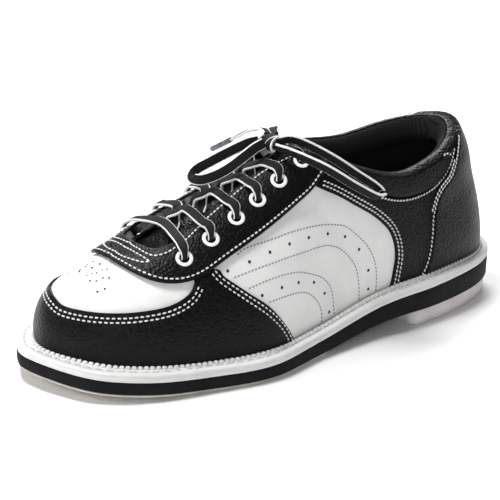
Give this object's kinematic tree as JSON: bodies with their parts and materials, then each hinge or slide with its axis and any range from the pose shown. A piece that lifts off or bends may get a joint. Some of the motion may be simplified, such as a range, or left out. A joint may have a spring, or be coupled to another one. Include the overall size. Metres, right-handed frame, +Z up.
{
  "type": "bowling shoe",
  "caption": "Left low bowling shoe with white perforated toe plug and quarters, black leather overlays, padded collar, laced throat, welted sole and separate heel.",
  "frame": {"origin": "middle of the sole's footprint, on the surface the shoe stands on", "axes": "+X toward the toe, along the shoe's length; +Y toward the outer (lateral) side; +Z up"},
  "size_m": [0.3002, 0.108, 0.1125],
  "materials": {
    "black_leather": "pebbled black leather, semi-gloss",
    "white_leather": "smooth white leather, semi-gloss",
    "white_welt": "moulded off-white rubber, satin",
    "black_sole": "fine-grained black rubber, matt",
    "heel_rubber": "pale pinkish-white rubber, matt",
    "slide_leather": "pale split leather slide piece, matt",
    "textile": "black ribbed textile lining",
    "foam": "soft dark foam",
    "board": "fibre board, matt",
    "steel": "plain steel strip",
    "cork": "cork filler, matt",
    "eyelet": "white lacquered eyelet, gloss",
    "lace": "flat woven black lace with fine white edges",
    "aglet": "dark blue-grey plastic aglet, gloss"
  },
  "bodies": {
    "shoe": {"heel_block": "heel_rubber", "slide_sole": "slide_leather", "midsole": "black_sole", "welt": "white_welt", "forefoot_filler": "cork", "heel_filler": "cork", "shank": "steel", "insole_board": "board", "sock_liner": "textile", "vamp_lining": "textile", "quarter_lining": "textile", "toe_puff": "board", "heel_counter": "board", "eyestay": "black_leather", "toe_plug": "white_leather", "toe_guard": "black_leather", "quarter_outer": "white_leather", "quarter_inner": "white_leather", "rear_quarter_outer": "black_leather", "rear_quarter_inner": "black_leather", "backstay": "black_leather", "collar_cover": "black_leather", "collar_lining": "textile", "collar_foam": "foam", "eyelet_outer_1": "eyelet", "eyelet_inner_1": "eyelet", "eyelet_outer_2": "eyelet", "eyelet_inner_2": "eyelet", "eyelet_outer_3": "eyelet", "eyelet_inner_3": "eyelet", "eyelet_outer_4": "eyelet", "eyelet_inner_4": "eyelet", "eyelet_outer_5": "eyelet", "eyelet_inner_5": "eyelet", "eyelet_outer_6": "eyelet", "eyelet_inner_6": "eyelet", "lace_bar": "lace", "lace_run_outer_2": "lace", "lace_run_inner_2": "lace", "lace_run_outer_3": "lace", "lace_run_inner_3": "lace", "lace_run_outer_4": "lace", "lace_run_inner_4": "lace", "lace_run_outer_5": "lace", "lace_run_inner_5": "lace", "lace_to_knot_outer": "lace", "lace_to_knot_inner": "lace", "lace_knot": "lace", "lace_loop_outer": "lace", "lace_loop_inner": "lace", "lace_end_front": "lace", "lace_end_rear": "lace", "aglet_front": "aglet", "aglet_rear": "aglet"},
    "tongue": {"tongue_face": "black_leather", "tongue_padding": "foam", "tongue_lining": "textile"}
  },
  "joints": [
    {"name": "tongue_flex", "type": "hinge", "parent": "shoe", "child": "tongue", "pos_m": [0.099, -0.004, 0.048], "axis": [0, 1, 0], "range_deg": [-12, 0], "stiffness_Nm_per_rad": 0.1, "springref_deg": 20.05}
  ]
}
